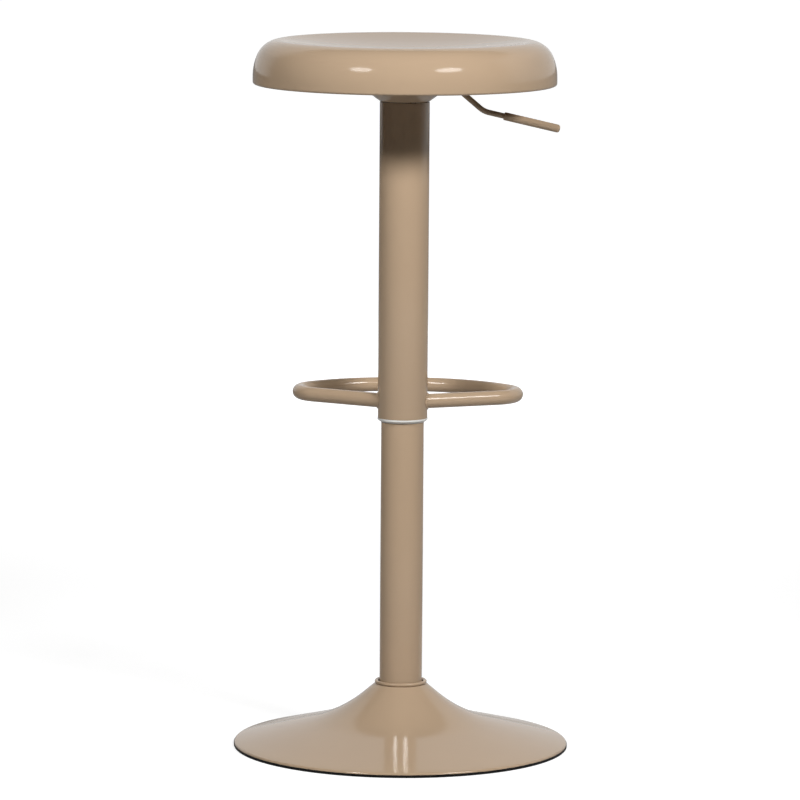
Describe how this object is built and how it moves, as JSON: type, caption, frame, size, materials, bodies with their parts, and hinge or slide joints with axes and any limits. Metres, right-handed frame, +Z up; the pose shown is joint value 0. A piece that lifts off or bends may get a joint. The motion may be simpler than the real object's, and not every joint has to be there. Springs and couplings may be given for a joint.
{
  "type": "bar stool",
  "caption": "Height-adjustable swivel bar stool: round pressed-steel seat, footrest hoop on a sliding cover tube, fixed column, trumpet base and a side release lever.",
  "frame": {"origin": "on the floor, on the axis of the column", "axes": "+Z up, +Y from the column to the front of the footrest, +X to the release lever"},
  "size_m": [0.392, 0.392, 0.831],
  "materials": {
    "beige_paint": "glossy powder coat",
    "white_plastic": "moulded, satin",
    "natural_plastic": "moulded, satin",
    "black_rubber": "matte",
    "black_paint": "semi-gloss black",
    "raw_iron": "raw",
    "mill_steel": "bare steel",
    "zinc_steel": "zinc plated",
    "ground_steel": "ground and hard",
    "turned_aluminium": "turned"
  },
  "bodies": {
    "base": {"base_dish": "beige_paint", "base_rubber_ring": "black_rubber", "floor_plate": "black_paint", "ballast_disc": "raw_iron", "base_hub": "mill_steel", "neck_ring": "beige_paint", "column_tube": "beige_paint", "column_end_plate": "mill_steel", "guide_bushing": "natural_plastic", "bearing_lower_race": "ground_steel"},
    "bearing_cage": {"ball_cage": "natural_plastic", "bearing_balls": "ground_steel"},
    "rod": {"piston_rod": "ground_steel", "rod_washer": "zinc_steel", "rod_clip": "zinc_steel", "bump_stop": "black_rubber", "piston": "turned_aluminium", "piston_seal": "black_rubber", "bearing_upper_race": "ground_steel"},
    "lift": {"gas_cylinder": "black_paint", "pressure_tube": "mill_steel", "cylinder_rod_guide": "turned_aluminium", "rod_seal": "black_rubber", "valve_head": "turned_aluminium", "valve_seal": "black_rubber", "cover_tube": "beige_paint", "cover_bushing": "white_plastic", "cover_hub": "zinc_steel", "footrest_hoop": "beige_paint", "footrest_welds": "beige_paint", "taper_socket": "zinc_steel", "mechanism_cup": "beige_paint", "seat_plate": "beige_paint", "lever_bracket": "zinc_steel", "pivot_pin": "zinc_steel", "pivot_clip": "zinc_steel", "seat_bowl": "beige_paint", "seat_bolts": "zinc_steel", "bolt_washers": "zinc_steel", "weld_nuts": "zinc_steel", "seat_pan": "beige_paint"},
    "lever": {"lever_rocker": "zinc_steel", "lever_rod": "beige_paint", "lever_sleeve": "beige_paint"},
    "release_pin": {"release_pin": "ground_steel"}
  },
  "joints": [
    {"name": "seat_swivel", "type": "hinge", "parent": "base", "child": "rod", "pos_m": [0, 0, 0.02], "axis": [0, 0, 1], "continuous": true},
    {"name": "cage_turn", "type": "hinge", "parent": "base", "child": "bearing_cage", "pos_m": [0, 0, 0.02], "axis": [0, 0, 1], "continuous": true},
    {"name": "seat_lift", "type": "slide", "parent": "rod", "child": "lift", "axis": [0, 0, 1], "range_m": [-0.21, 0]},
    {"name": "lever_pull", "type": "hinge", "parent": "lift", "child": "lever", "pos_m": [0.026, 0, 0.787], "axis": [0, -1, 0], "range_deg": [0, 7], "stiffness_Nm_per_rad": 2, "springref_deg": -5.73},
    {"name": "pin_press", "type": "slide", "parent": "lift", "child": "release_pin", "axis": [0, 0, -1], "range_m": [0, 0.0035]}
  ],
  "couplings": [
    {"joint": "cage_turn", "follows": "seat_swivel", "ratio": 0.5},
    {"joint": "pin_press", "follows": "lever_pull", "m_per_rad": 0.026}
  ]
}
